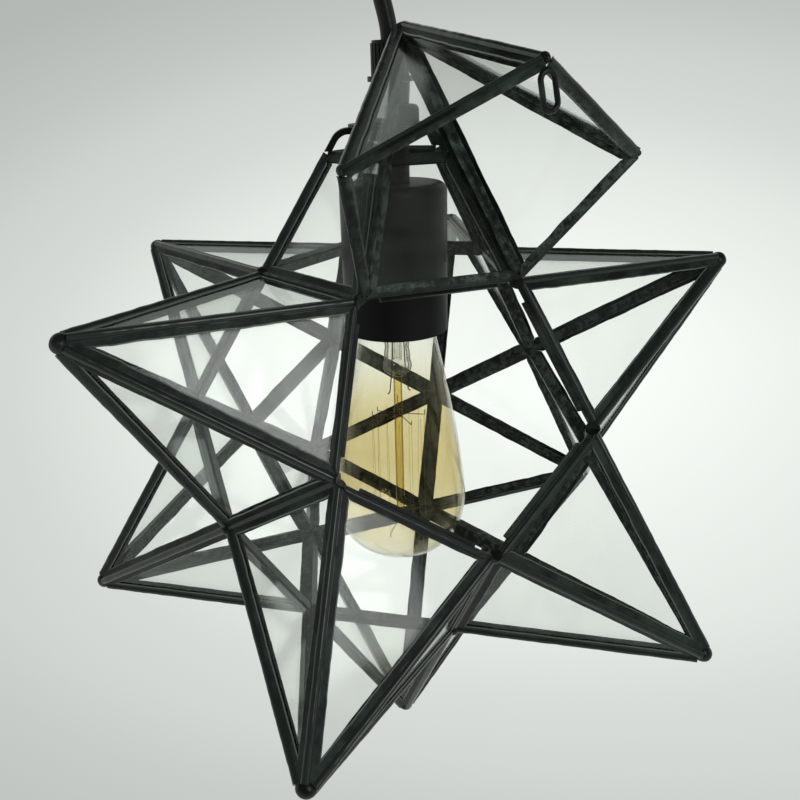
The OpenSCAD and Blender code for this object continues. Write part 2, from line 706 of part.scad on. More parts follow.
module rose_grip() color(black) difference() {
    union() {
        translate([0, 0, rose_end_z]) cylinder(r1 = rose_grip_r - 1, r2 = rose_grip_r, h = rose_grip_h - gap);
        translate([0, 0, rose_low - 1]) cylinder(r = 5, h = rose_wall + 4);
    }
    translate([0, 0, rose_end_z - 1]) cylinder(r = cord_bore_r, h = rose_grip_h + 10);
}

module ceiling_bracket() color([0.72, 0.72, 0.70]) difference() {
    union() {
        translate([-bracket_l / 2, -bracket_w / 2, -bracket_t]) cube([bracket_l, bracket_w, bracket_t]);
        for (a = [0, 180]) rotate([0, 0, a]) translate([bracket_l / 2 - ear_t, -bracket_w / 2, -ear_h])
            cube([ear_t, bracket_w, ear_h - bracket_t / 2]);
    }
    for (x = [-fix_pitch / 2, fix_pitch / 2]) translate([x, 0, -bracket_t - 1])
        cylinder(r = fix_hole_r, h = bracket_t + 2);
    for (a = [0, 180]) rotate([0, 0, a]) translate([bracket_l / 2 - 2 * ear_t, 0, screw_z]) rotate([0, 90, 0])
        cylinder(r = side_screw_r + gap, h = rose_d);
}

module bracket_screws() color(black) for (a = [0, 180]) rotate([0, 0, a]) translate([0, 0, screw_z])
    rotate([0, 90, 0]) {
        translate([0, 0, bracket_l / 2 - 2 * ear_t])
            cylinder(r = side_screw_r, h = rose_d / 2 - bracket_l / 2 + 2 * ear_t + gap + head_h / 2);
        translate([0, 0, rose_d / 2 + gap]) cylinder(r = head_r, h = head_h);
    }

module terminal_block() color([0.92, 0.92, 0.90]) translate([-block_l / 2, -block_w / 2, block_z])
    cube([block_l, block_w, -bracket_t - gap - block_z]);

// Each node draws one piece, or pieces that are alike
glass_top();
glass_door();
glass_upper_right();
glass_upper_back_right();
glass_upper_back_left();
glass_upper_left();
glass_bottom();
glass_lower_back();
glass_lower_right();
glass_lower_front_right();
glass_lower_front_left();
glass_lower_left();
ridges_top();
ridges_door();
ridges_upper_right();
ridges_upper_back_right();
ridges_upper_back_left();
ridges_upper_left();
ridges_bottom();
ridges_lower_back();
ridges_lower_right();
ridges_lower_front_right();
ridges_lower_front_left();
ridges_lower_left();
vent_crossbars();
valleys_upper();
valleys_waist();
valleys_lower();
opening_rim();
door_foot_rim();
core_solder();
tip_solder();
door_solder();
hinge_tube();
hinge_pin();
latch_loop();
catch_arch();
crown_strips();
crown_plate();
clamp_nut();
spacer_tube();
threaded_tube();
lamp_cup();
holder_body();
screw_shell();
centre_contact();
grip_base();
cord_grip();
inner_cord();
cord();
bulb_glass();
bulb_cap();
bulb_stem();
filament_rod();
filament();
rose_cup();
rose_grip();
ceiling_bracket();
bracket_screws();
terminal_block();
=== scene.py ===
"""Twelve-point glass star pendant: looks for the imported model, laid out as an add-on."""
import json
import math

import bpy
import numpy as np
from mathutils import Matrix, Vector


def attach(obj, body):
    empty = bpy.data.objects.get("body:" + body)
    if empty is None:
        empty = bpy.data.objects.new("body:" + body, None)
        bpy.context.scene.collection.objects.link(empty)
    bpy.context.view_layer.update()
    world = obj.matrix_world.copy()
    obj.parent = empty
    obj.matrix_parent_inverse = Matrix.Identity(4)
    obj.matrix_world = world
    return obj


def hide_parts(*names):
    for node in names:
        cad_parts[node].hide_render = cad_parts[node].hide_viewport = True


bl_info = {
    "name": "Glass star pendant",
    "version": (1, 0, 0),
    "blender": (4, 5, 0),
    "location": "View3D > Sidebar > Star",
    "description": "Builds the panes, seams, bulb, cord and stage of a glass star pendant",
    "category": "Object",
}

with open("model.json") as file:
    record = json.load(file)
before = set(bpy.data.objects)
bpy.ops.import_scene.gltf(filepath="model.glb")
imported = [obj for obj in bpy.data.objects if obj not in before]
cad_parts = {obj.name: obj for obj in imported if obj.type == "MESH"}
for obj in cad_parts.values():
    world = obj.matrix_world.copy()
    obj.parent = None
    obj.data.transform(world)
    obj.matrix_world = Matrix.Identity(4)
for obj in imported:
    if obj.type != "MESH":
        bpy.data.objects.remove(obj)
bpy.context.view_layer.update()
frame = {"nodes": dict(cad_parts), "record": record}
NODES = frame["nodes"]

# Lengths are in millimetres until a mesh is made
MM = 0.001

# The star: five-sided points on the twelve faces of a core
EDGE = 69.0                                                 # side of a core face, and foot of a pane
PHI = (1 + 5 ** 0.5) / 2
TILT = math.atan(2)                                         # lean of a pane, and of one core face to the next
FOLD = math.atan(PHI)                                       # half the angle between the panes at a seam
CORE_R = EDGE * (250 + 110 * 5 ** 0.5) ** 0.5 / 20          # from the star's middle to a core face
FOOT_IN = EDGE / (2 * math.tan(math.radians(36)))           # from a core face's middle to its sides
SLANT = EDGE / 2 * math.tan(math.radians(72))               # height of a pane
POINT_H = SLANT * math.sin(TILT)                            # height of a point over its core face
RIDGE = PHI * EDGE                                          # long side of a pane
VENT_Y = 50 / math.sin(TILT)                                # height of the panes of the cut-off top point
STAR = Matrix.Translation((0, 0, -260))                     # place of the star's middle

# Seams, in the frame of a pane: the outer face of its glass is at z = 0
FOOT_MITRE, TIP_MITRE, VENT_MITRE = (math.radians(a) for a in (36, 18, 54))
FOIL_TOP, DEEP = 0.65, 2.65                                 # height of the outer foil, depth of the inner one
GLASS, HEART, GAP = 2.0, 1.9, 0.05                          # thickness, solder between two panes, clearance
SEAM_START, RIM_START, TIP_GAP = 2.4, 1.6, 6.5              # bare ends of the seams, for the solder balls
RIM_LIFT = 0.15                                             # half the gap between opening and door

# The door
OPEN = math.radians(113.5)                                  # its turn at rest
WIRE_H = 2.3                                                # height of the hinge's wire over the core face
HINGE_Y = -FOOT_IN + (math.cos(TILT) * WIRE_H - 2.55) / math.sin(TILT)
HINGE_Z = CORE_R + WIRE_H

POINTS = ["top", "door", "upper_right", "upper_back_right", "upper_back_left", "upper_left",
          "bottom", "lower_back", "lower_right", "lower_front_right", "lower_front_left", "lower_left"]
# Where seams run, as (point, pane): round the door's opening, its hinge side first, and in the valleys
RIM = [(0, 0), (2, 1), (5, 4), (9, 3), (10, 2)]
VALLEYS = {
    "upper": [(0, 1), (0, 2), (0, 3), (0, 4), (3, 1), (4, 1), (5, 1)],
    "waist": [(i, k) for i in range(2, 6) for k in (2, 3)],
    "lower": [(6, k) for k in range(5)] + [(i, 1) for i in range(7, 12)],
}


def turn(axis, degrees):
    """A turn about an axis of the frame, as a 4 by 4 matrix."""
    return Matrix.Rotation(math.radians(degrees), 4, axis)


def point_at(i):
    """Place of point i of the star; the door's own place is the open one."""
    up = i % 6
    place = Matrix.Identity(4)
    if up:
        place = turn("Z", 72 * (up - 1)) @ Matrix.Rotation(TILT, 4, "X") @ turn("Z", 180)
    if i >= 6:
        place = turn("X", 180) @ place
    if i == 1:
        hinge = Matrix.Translation((0, HINGE_Y, HINGE_Z))
        place = hinge @ Matrix.Rotation(-OPEN, 4, "X") @ hinge.inverted() @ place
    return STAR @ place


def pane_at(k):
    """Flat frame of pane k of a point: x along its foot, y up the pane, z out of the glass."""
    foot = Matrix.Translation((-EDGE / 2, -FOOT_IN, CORE_R))
    return turn("Z", 72 * k) @ foot @ Matrix.Rotation(TILT, 4, "X")


def ridge_at(k):
    """Frame of the seam up the right side of pane k, from the foot to the tip."""
    return pane_at(k) @ Matrix.Translation((EDGE, 0, 0)) @ turn("Z", 108)


# Meshes

def placed(points, place):
    """Points, in millimetres, carried through a 4 by 4 matrix and given in metres."""
    m = np.array(place)
    return (points @ m[:3, :3].T + m[:3, 3]) * MM


def wavy(x, seed, cell):
    """Smooth noise of one number from -1 to 1: random values a cell apart, joined by a cosine ease."""
    rng = np.random.default_rng(seed)
    table = rng.uniform(-1, 1, 400)
    u = np.asarray(x) / cell + 40
    n = np.floor(u).astype(int)
    f = (1 - np.cos((u - n) * np.pi)) / 2
    return table[n % 400] * (1 - f) + table[(n + 1) % 400] * f


def grid_faces(rows, cols, closed_rows=False):
    """Quads of a grid of rows by cols points, whose rows are rings."""
    a, b = np.meshgrid(np.arange(rows if closed_rows else rows - 1), np.arange(cols), indexing="ij")
    a2, b2 = (a + 1) % rows, (b + 1) % cols
    return np.stack([a * cols + b, a * cols + b2, a2 * cols + b2, a2 * cols + b], -1).reshape(-1, 4)


def end_faces(rows, cols):
    """The two flat ends of a swept outline."""
    last = (rows - 1) * cols
    return [list(range(cols)), [last + c for c in range(cols - 1, -1, -1)]]


def build(name, parts, body, material, replaces, attribute=None):
    """One object from (points, faces) parts; faces are arrays of quads or lists of corner lists.
    attribute is a name with a list of values for the points of each part."""
    points, faces, offset = [], [], 0
    for pts, quads in parts:
        points.append(pts)
        for quad in quads:
            faces.append([int(v) + offset for v in quad])
        offset += len(pts)
    mesh = bpy.data.meshes.new(name)
    mesh.from_pydata(np.concatenate(points).tolist(), [], faces)
    mesh.polygons.foreach_set("use_smooth", np.full(len(mesh.polygons), True))
    if attribute is not None:
        label, values = attribute
        layer = mesh.attributes.new(label, "FLOAT", "POINT")
        layer.data.foreach_set("value", np.concatenate(values).astype(np.float32))
    mesh.update()
    mesh.set_sharp_from_angle(angle=math.radians(38))
    obj = bpy.data.objects.new(name, mesh)
    bpy.context.scene.collection.objects.link(obj)
    obj.data.materials.append(material)
    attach(obj, body)
    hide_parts(*replaces)
    return obj


# The last code marks the foil's outer edge, which the blacking paints light grey as a highlight
FIXED, OUTER, INNER, SLOT, BEAD, EDGE_HIGHLIGHT = range(6)


def section(side, bead, flange, inner):
    """Half of a seam's section in its pane's (y, z): the bead's arc round the edge, out along the foil,
    round the slot of the glass and back to the fold. side is 1 on a ridge and -1 in a valley.
    Each point has a code, which says what wanders or swells with it."""
    lift = math.asin(FOIL_TOP / bead)
    top = math.pi - FOLD if side > 0 else FOLD
    pts = [(bead * math.cos(a), bead * math.sin(a), BEAD) for a in np.linspace(top, lift, 7)]
    pts += [(bead * math.cos(lift) + 0.25, FOIL_TOP, FIXED), (flange - 0.6, FOIL_TOP, OUTER),
            (flange - 0.3, FOIL_TOP, EDGE_HIGHLIGHT), (flange, FOIL_TOP - 0.25, EDGE_HIGHLIGHT), (flange, FOIL_TOP - 0.5, OUTER),
            (flange, GAP, OUTER), (HEART - GAP, GAP, SLOT), (HEART - GAP, -GLASS - GAP, SLOT),
            (inner, -GLASS - GAP, INNER), (inner, -DEEP + 0.25, INNER), (inner - 0.3, -DEEP, INNER),
            (side * DEEP / math.tan(FOLD), -DEEP, FIXED)]
    return pts


SPACING = 1.3      # from one section of a swept seam to the next


def seam(length, side, a0, a1, start, end, seed, bead, flange, inner):
    """A soldered seam on both panes of a fold, swept along x. At each x the widths are the section's,
    with a slow wander, cut to the mitres y = x tan a0 and y = (length - x) tan a1.
    The second half is mirrored in the plane of the fold, with a wander of its own. Returns points, faces
    and, for the blacking, a value for each point: 1 on the bead, 2 on the foil's outer edge, which gets a
    painted highlight, -1 inside, 0 elsewhere."""
    steps = max(12, int((end - start) / SPACING))
    x = np.linspace(start, end, steps)
    limit = np.minimum(x * math.tan(a0), (length - x) * math.tan(a1)) - GAP
    pts = section(side, bead, flange, inner)
    swell = 1 + 0.05 * wavy(x, seed, 5.0) + 0.035 * wavy(x, seed + 1, 1.9)
    halves = []
    for h in (0, 1):
        wander = 0.22 * wavy(x, seed + 2 + h, 9.0) + 0.1 * wavy(x, seed + 4 + h, 2.6)
        cols = []
        for y, z, code in pts:
            yy = np.full(steps, y)
            zz = np.full(steps, z)
            if code == BEAD:
                yy, zz = y * swell, z * swell
            if code in (OUTER, EDGE_HIGHLIGHT):
                yy = yy + wander
            if code == INNER:
                yy = yy - wander * 0.7
            yy = np.minimum(yy, np.maximum(limit, 0.05))
            cols.append(np.stack([x, yy, zz], -1))
        halves.append(np.stack(cols, 1))
    n = np.array([0, math.sin(FOLD), side * math.cos(FOLD)])
    other = halves[1] - 2 * (halves[1] @ n)[..., None] * n
    ring = np.concatenate([halves[0], other[:, ::-1]], 1)
    count = ring.shape[1]
    faces = list(grid_faces(steps, count)[:, ::-1]) + end_faces(steps, count)
    codes = np.array([c for _, _, c in pts])
    inside = np.array([z < -GLASS for _, z, _ in pts])
    kind = (codes == BEAD) * 1.0 + (codes == EDGE_HIGHLIGHT) * 2.0 - inside * 1.0
    return ring.reshape(-1, 3), faces, np.tile(np.concatenate([kind, kind[::-1]]), steps)


def half_seam(outline, seed, bead_cols):
    """Half a seam along the foot of a pane that isn't joined there: its outline swept along x between the
    foot's mitres. bead_cols are the outline's corners that follow the bead and swell with it."""
    steps = int((EDGE - 2 * RIM_START) / SPACING)
    x = np.linspace(RIM_START, EDGE - RIM_START, steps)
    limit = np.minimum(x, EDGE - x) * math.tan(FOOT_MITRE) - GAP
    swell = 0.07 * wavy(x, seed, 4.0)
    wander = 0.2 * wavy(x, seed + 2, 8.0)
    cols = []
    for n, (y, z) in enumerate(outline):
        yy = np.full(steps, float(y)) + (wander if y > 3.5 else 0)
        zz = np.full(steps, float(z)) + (swell if n in bead_cols else 0)
        cols.append(np.stack([x, np.minimum(yy, np.maximum(limit, 0.2)), zz], -1))
    ring = np.stack(cols, 1)
    count = len(outline)
    faces = list(grid_faces(steps, count)[:, ::-1]) + end_faces(steps, count)
    flags = np.array([1.0 if n in bead_cols else -1.0 if z < -GLASS else 0.0
                      for n, (_, z) in enumerate(outline)])
    return ring.reshape(-1, 3), faces, np.tile(flags, steps)


def blob(radius, seed, rings=20, sides=28):
    """A solder ball: a sphere whose radius swells by three slow waves over its angles, with closed poles."""
    rng = np.random.default_rng(seed)
    p = rng.uniform(0, 2 * np.pi, 3)
    t = np.linspace(0, np.pi, rings + 2)[1:-1]
    a = np.arange(sides) * 2 * np.pi / sides
    tt, aa = np.meshgrid(t, a, indexing="ij")
    r = radius * (0.955 + 0.02 * np.sin(2 * aa + p[0]) * np.sin(tt)
                  + 0.02 * np.sin(3 * aa + 2 * tt + p[1]) * np.sin(tt) + 0.02 * np.cos(3 * tt + p[2]))
    skin = np.stack([r * np.sin(tt) * np.cos(aa), r * np.sin(tt) * np.sin(aa), r * np.cos(tt)], -1)
    pts = np.concatenate([skin.reshape(-1, 3), [[0, 0, radius * 0.955], [0, 0, -radius * 0.955]]])
    quads = grid_faces(rings, sides)
    top, low = len(pts) - 2, len(pts) - 1
    faces = list(quads[:, ::-1]) + [[top, c, (c + 1) % sides] for c in range(sides)]
    base = (rings - 1) * sides
    faces += [[low, base + (c + 1) % sides, base + c] for c in range(sides)]
    return pts, faces


def turned(outline, sides):
    """A turned piece: a closed outline of (radius, height) carried round the z axis."""
    o = np.array(outline, float)
    a = np.arange(sides) * 2 * np.pi / sides
    r, z = o[:, 0][None, :], o[:, 1][None, :]
    z = np.broadcast_to(z, (sides, len(o)))
    pts = np.stack([r * np.cos(a)[:, None], r * np.sin(a)[:, None], z], -1)
    return pts.reshape(-1, 3), grid_faces(sides, len(o), closed_rows=True)[:, ::-1]


def tube(path, radius, sides):
    """A round wire along a path: rings across the path's direction, turned as little as possible from
    one to the next."""
    p = np.asarray(path, float)
    n = len(p)
    d = np.gradient(p, axis=0)
    d /= np.linalg.norm(d, axis=1, keepdims=True)
    u = np.zeros_like(d)
    side = np.array([0, 0, 1.0]) if abs(d[0][2]) < 0.9 else np.array([1.0, 0, 0])
    for i in range(n):
        side = side - d[i] * (side @ d[i])
        side = side / np.linalg.norm(side)
        u[i] = side
    v = np.cross(d, u)
    a = np.arange(sides) * 2 * np.pi / sides
    ring = np.cos(a)[None, :, None] * u[:, None] + np.sin(a)[None, :, None] * v[:, None]
    pts = p[:, None] + radius * ring
    return pts.reshape(-1, 3), list(grid_faces(n, sides)) + [face[::-1] for face in end_faces(n, sides)]


# Materials

class Value:
    """A socket that takes part in Python expressions; each operator adds a Math node."""

    def __init__(self, shade, socket):
        self.shade, self.socket = shade, socket

    def _math(self, operation, a, b):
        return self.shade.node("ShaderNodeMath", {"operation": operation}, {0: a, 1: b})

    def __add__(self, b): return self._math("ADD", self, b)
    def __radd__(self, b): return self._math("ADD", b, self)
    def __sub__(self, b): return self._math("SUBTRACT", self, b)
    def __rsub__(self, b): return self._math("SUBTRACT", b, self)
    def __mul__(self, b): return self._math("MULTIPLY", self, b)
    def __rmul__(self, b): return self._math("MULTIPLY", b, self)
    def __pow__(self, b): return self._math("POWER", self, b)

    def clamp(self, low, high):
        return self._math("MINIMUM", self._math("MAXIMUM", self, low), high)

    def step(self, low, high):
        """0 below low, 1 above high, smooth between."""
        return self.shade.node("ShaderNodeMapRange", {"interpolation_type": "SMOOTHSTEP"},
                               {"Value": self, "From Min": low, "From Max": high})


class Shade:
    """A material or a world under construction."""

    def __init__(self, name, kind="materials"):
        self.material = getattr(bpy.data, kind).new(name)
        self.material.use_nodes = True
        self.tree = self.material.node_tree
        self.tree.nodes.clear()
        output = "ShaderNodeOutputWorld" if kind == "worlds" else "ShaderNodeOutputMaterial"
        self.out = self.tree.nodes.new(output)

    def node(self, kind, settings=None, inputs=None, output=0):
        """Adds a node with its settings and inputs, which are values or numbers, and gives one output."""
        n = self.tree.nodes.new(kind)
        for key, value in (settings or {}).items():
            if key == "stops":
                while len(n.color_ramp.elements) < len(value):
                    n.color_ramp.elements.new(0.5)
                for e, (at, colour) in zip(n.color_ramp.elements, value):
                    e.position, e.color = at, (*colour, 1)
            else:
                setattr(n, key, value)
        for key, value in (inputs or {}).items():
            socket = n.inputs[key]
            if isinstance(value, Value):
                self.tree.links.new(value.socket, socket)
            elif socket.type == "RGBA":
                socket.default_value = (*value, 1)
            else:
                socket.default_value = value
        return Value(self, n.outputs[output])

    def coords(self, stretch=(1, 1, 1)):
        at = self.node("ShaderNodeTexCoord", output="Object")
        return self.node("ShaderNodeMapping", None, {"Vector": at, "Scale": stretch})

    def noise(self, vector, scale, detail=4.0, rough=0.55):
        return self.node("ShaderNodeTexNoise", None,
                         {"Vector": vector, "Scale": scale, "Detail": detail, "Roughness": rough})

    def attribute(self, name):
        return self.node("ShaderNodeAttribute", {"attribute_name": name}, output="Fac")

    def mix(self, factor, a, b):
        """Colour a where the factor is 0 and b where it is 1."""
        n = self.tree.nodes.new("ShaderNodeMix")
        n.data_type = "RGBA"
        for key, value in ((0, factor), (6, a), (7, b)):
            if isinstance(value, Value):
                self.tree.links.new(value.socket, n.inputs[key])
            elif key == 0:
                n.inputs[key].default_value = value
            else:
                n.inputs[key].default_value = (*value, 1)
        return Value(self, n.outputs[2])

    def blend(self, factor, a, b):
        """Shader a where the factor is 0 and b where it is 1."""
        return self.node("ShaderNodeMixShader", None, {0: factor, 1: a, 2: b})

    def surface(self, shader):
        self.tree.links.new(shader.socket, self.out.inputs["Surface"])
        return self.material

    def bump(self, height, distance, strength):
        return self.node("ShaderNodeBump", None,
                         {"Height": height, "Distance": distance, "Strength": strength})

    def facing(self):
        """0 where the surface faces the eye, 1 where it turns away."""
        return self.node("ShaderNodeLayerWeight", None, {"Blend": 0.5}, output="Facing")

    def clear(self, colour):
        return self.node("ShaderNodeBsdfTransparent", None, {"Color": colour})

    def finish(self, **inputs):
        """Closes the material with a Principled BSDF."""
        names = {"base": "Base Color", "rough": "Roughness", "metal": "Metallic", "normal": "Normal",
                 "coat": "Coat Weight", "coat_rough": "Coat Roughness", "specular": "Specular IOR Level"}
        sockets = {names[k]: v for k, v in inputs.items()}
        return self.surface(self.node("ShaderNodeBsdfPrincipled", None, sockets))


_made = {}


def once(function):
    """Makes a material once and hands the same one out after that."""
    def inner(*args):
        key = (function.__name__, args)
        if key not in _made:
            _made[key] = function(*args)
        return _made[key]
    return inner


@once
def patina():
    """Blackened foil with a dark grey-green bloom. The bead is smoother and glossier, the foil's outer edge
    is painted light grey as a highlight where it catches the light, and the inside is speckled grey: painted
    light that stands in for window light caught by dust on the panes in front."""
    s = Shade("seam_black_patina")
    at = s.coords()
    broad = s.noise(at, 38, 5, 0.62)
    fine = s.noise(at, 420, 3, 0.6)
    side = s.attribute("side")
    bead, edge, inside = side.clamp(0, 1), (side - 1).clamp(0, 1), (side * -1).clamp(0, 1)
    bloom = (broad + fine * 0.25).step(0.52, 0.78)
    flat = s.mix(bloom, (0.0022, 0.0036, 0.0030), (0.013, 0.021, 0.017))
    # Painted light: a grey speckle on the inner foil, standing in for window light caught by dust on the
    # panes in front
    speckle = (s.noise(at, 260, 5, 0.75) + broad * 0.35 - 0.17).step(0.42, 0.66)
    grey = s.mix(speckle, (0.0047, 0.0070, 0.0058), (0.042, 0.056, 0.046))
    # Painted highlight: the foil's outer edge is lifted to light grey, as if it caught the light
    outer = s.mix(edge, s.mix(bead, flat, (0.008, 0.012, 0.010)), (0.064, 0.078, 0.066))
    base = s.mix(inside, outer, grey)
    height = fine * 0.6 + broad * 0.8 + s.noise(at, 160, 2) * 0.7
    return s.finish(base=base, specular=0.2, coat=bead * 0.6, coat_rough=0.12,
                    rough=(0.32 + broad * 0.22 - bead * 0.14).clamp(0.16, 0.8),
                    normal=s.bump(height, 0.00022, 0.6))


@once
def solder():
    """Blackened solder balls: uneven, fairly smooth."""
    s = Shade("solder_black_patina")
    at = s.coords()
    broad = s.noise(at, 110, 4)
    base = s.mix(broad.step(0.45, 0.75), (0.003, 0.004, 0.004), (0.018, 0.022, 0.021))
    return s.finish(base=base, metal=0.2, specular=0.4, rough=(0.22 + broad * 0.25).clamp(0.2, 0.6),
                    normal=s.bump(broad, 0.0005, 0.7))


@once
def pane_glass():
    """Clear sheet glass with a faint grey-green tint and a slow waviness. Dust and wiped smears blur and
    speckle what it reflects."""
    s = Shade("sheet_glass")
    at = s.coords()
    wave = s.noise(at, 9, 2, 0.5)
    dust = s.noise(at, 1500, 3, 0.7).step(0.45, 0.75)
    smear = s.noise(s.coords((1, 1, 0.35)), 26, 5, 0.6).step(0.35, 0.7)
    share = (0.018 + s.facing() ** 5 * 0.85 + dust * 0.022 + smear * 0.024).clamp(0, 0.9)
    clear = s.clear((0.990, 0.995, 0.988))
    gloss = s.node("ShaderNodeBsdfPrincipled", None, {
        "Base Color": (0.90, 0.95, 0.92), "Roughness": 0.05 + dust * 0.07 + smear * 0.10, "Metallic": 1.0,
        "Normal": s.bump(wave, 0.004, 0.35)})
    return s.surface(s.blend(share, clear, gloss))


@once
def lamp_glass(name, pale, deep, share_low, top=0, low=0, rim=(0.10, 0.62)):
    """Blown glass that shines at its edges, with a tint from pale to deep. It deepens down the bulb, from
    top to low metres under the ceiling, and pales again at the bulb's lower end; its paling at the bulb's
    sides is a painted highlight.
    Where no heights are given it deepens over rim, from the middle of a rod out to its sides: painted shade
    in place of the dark edges that refraction gives a glass rod or tube."""
    s = Shade(name)
    facing = s.facing()
    drop = s.node("ShaderNodeSeparateXYZ", None, {0: s.coords()}, output="Z") * -1
    if low:
        depth = drop.step(top, low) - drop.step(low + 0.030, low + 0.062) * 0.7
        # Painted highlight: the tint pales where the bulb's side turns away from the eye
        depth = depth * (1 - facing.step(0.5, 0.95) * 0.6)
    else:
        # Painted shade: a rod or tube darkens towards its sides, in place of the dark edges refraction gives
        # it
        depth = facing.step(*rim)
    clear = s.blend(depth, s.clear(pale), s.clear(deep))
    gloss = s.node("ShaderNodeBsdfPrincipled", None, {
        "Base Color": (0.96, 0.96, 0.94), "Roughness": 0.02, "Metallic": 1.0})
    return s.surface(s.blend((share_low + facing ** 4 * 0.8).clamp(0, 0.95), clear, gloss))


@once
def painted(name, colour, rough, grain, specular=0.3):
    """Paint or moulded plastic: a fine grain, small changes of gloss."""
    s = Shade(name)
    at = s.coords()
    fine = s.noise(at, grain, 2, 0.5)
    broad = s.noise(at, 30, 4)
    base = s.mix(broad, [c * 0.8 for c in colour], [c * 1.3 for c in colour])
    return s.finish(base=base, specular=specular, rough=(rough - 0.06 + broad * 0.12).clamp(0.05, 1),
                    normal=s.bump(fine, 0.00006, 0.5))


@once
def bare_metal(name, colour, rough):
    """Bare or plated metal with fine drawn lines along the part."""
    s = Shade(name)
    at = s.coords((1, 1, 0.08))
    lines = s.noise(at, 900, 3)
    broad = s.noise(s.coords(), 60, 4)
    base = s.mix(broad.step(0.3, 0.8), colour, [c * 0.72 for c in colour])
    return s.finish(base=base, metal=1.0, rough=(rough + broad * 0.14).clamp(0.08, 0.9),
                    normal=s.bump(lines, 0.00004, 0.5))


def cord_jacket():
    """The cord's black jacket."""
    return painted("cord_jacket", (0.006, 0.006, 0.0065), 0.30, 700)


def lamp_finishes(tint):
    """The bulb's glass, its stem, its rod and its wires."""
    # The stem's grey and the rod's deeper amber, at their sides, are painted shade
    return (lamp_glass("bulb_glass_amber", (0.985, 0.980, 0.955), tuple(tint), 0.022, 0.222, 0.262),
            lamp_glass("stem_glass", (0.99, 0.99, 0.98), (0.22, 0.24, 0.22), 0.07, 0, 0, (0.36, 0.80)),
            lamp_glass("rod_amber", (0.92, 0.86, 0.58), (0.50, 0.41, 0.13), 0.05),
            bare_metal("filament_wire", (0.16, 0.10, 0.04), 0.4))


# Pieces

# The bulb, in heights over the star's middle: its widest radius, the height of that and how far the glass
# goes on below it; the neck's height and radius; the height of the shoulder over the neck and its radius
BULB_R, BULB_MID, BULB_END = 32.0, -34.0, 31.5
NECK_Z, NECK_R = 45.3, 18.18
SHOULDER_H, SHOULDER_R = 9.3, 11.95
# Heights of the rod's two buttons, number of hooks on each, and their reach
HOOK_Z, HOOK_LOW_Z, HOOKS, CAGE_R = 7.0, -49.8, 7, 12.8


def bulb_radius(z):
    """Outer radius of the bulb: a superellipse below its widest part, a power curve up to the neck and
    a rounded shoulder down to the cap."""
    below = BULB_R * np.maximum(0, 1 - np.clip((BULB_MID - z) / BULB_END, 0, 1) ** 2.4) ** (1 / 2.4)
    above = NECK_R + (BULB_R - NECK_R) * (1 - np.clip((z - BULB_MID) / (NECK_Z - BULB_MID), 0, 1) ** 1.33)
    round_off = np.maximum(0, 1 - np.clip((z - NECK_Z) / SHOULDER_H, 0, 1) ** 1.7) ** (1 / 1.7)
    shoulder = SHOULDER_R + (NECK_R - SHOULDER_R) * round_off
    return np.where(z < BULB_MID, below, np.where(z < NECK_Z, above, shoulder))


def bulb_envelope():
    """The bulb's wall, turned: the outside going up, then the inside coming down, a wall apart."""
    wall = 0.7
    quarter = np.linspace(0, np.pi / 2, 30)
    z = np.concatenate([BULB_MID - BULB_END * np.cos(quarter), np.linspace(BULB_MID, NECK_Z, 50)[1:],
                        NECK_Z + SHOULDER_H * np.sin(quarter[2::2])])
    r = np.maximum(bulb_radius(z), 0.02)
    inside = [(max(0.02, a - wall), max(b, BULB_MID - BULB_END + wall)) for a, b in zip(r, z)][::-1]
    return turned(list(zip(r, z)) + [(11.9, 61), (11.2, 61)] + inside, 128)


def bulb_stem():
    """The blown stem: a clear tube with a swollen, closed foot, its flare in the neck and the pipe in it."""
    z = np.linspace(57.5, 25.7, 60)
    r = 6.1 - 0.5 * np.exp(-((z - 40.5) / 2.6) ** 2) + 0.7 * np.exp(-((z - 31.2) / 2.2) ** 2)
    r = r * np.sqrt(np.clip((z - 25.6) / 3.4, 0, 1))
    r[-1] = 0.05
    skin = [(a, b) for a, b in zip(r, z)]
    core = [(max(0.04, a - 1.1), b + 0.9 * (b < 29)) for a, b in skin[:-1]][::-1]
    tube_part = turned((skin + [(0.04, 26.8)] + core)[::-1], 64)
    flare = turned([(6.5, 57.2), (10.7, 58.6), (10.7, 59.2), (6.5, 57.9)], 64)
    pipe = turned([(1.4, 34.5), (2.1, 34.0), (2.1, 57.0), (1.4, 57.0)], 32)
    return [tube_part, flare, pipe]


def filament_rod():
    """The amber rod with its glass buttons."""
    rod = turned([(0.02, -46.9), (1.6, -46.8), (2.0, -46.0), (2.0, 25.0), (0.02, 25.4)], 32)
    parts = [rod]
    for z, radius, seed in ((HOOK_Z, 2.7, 3), (HOOK_LOW_Z, 3.3, 4)):
        p, f = blob(radius, seed, 16, 24)
        parts.append((p * np.array([1, 1, 0.8]) + np.array([0, 0, z]), f))
    return parts


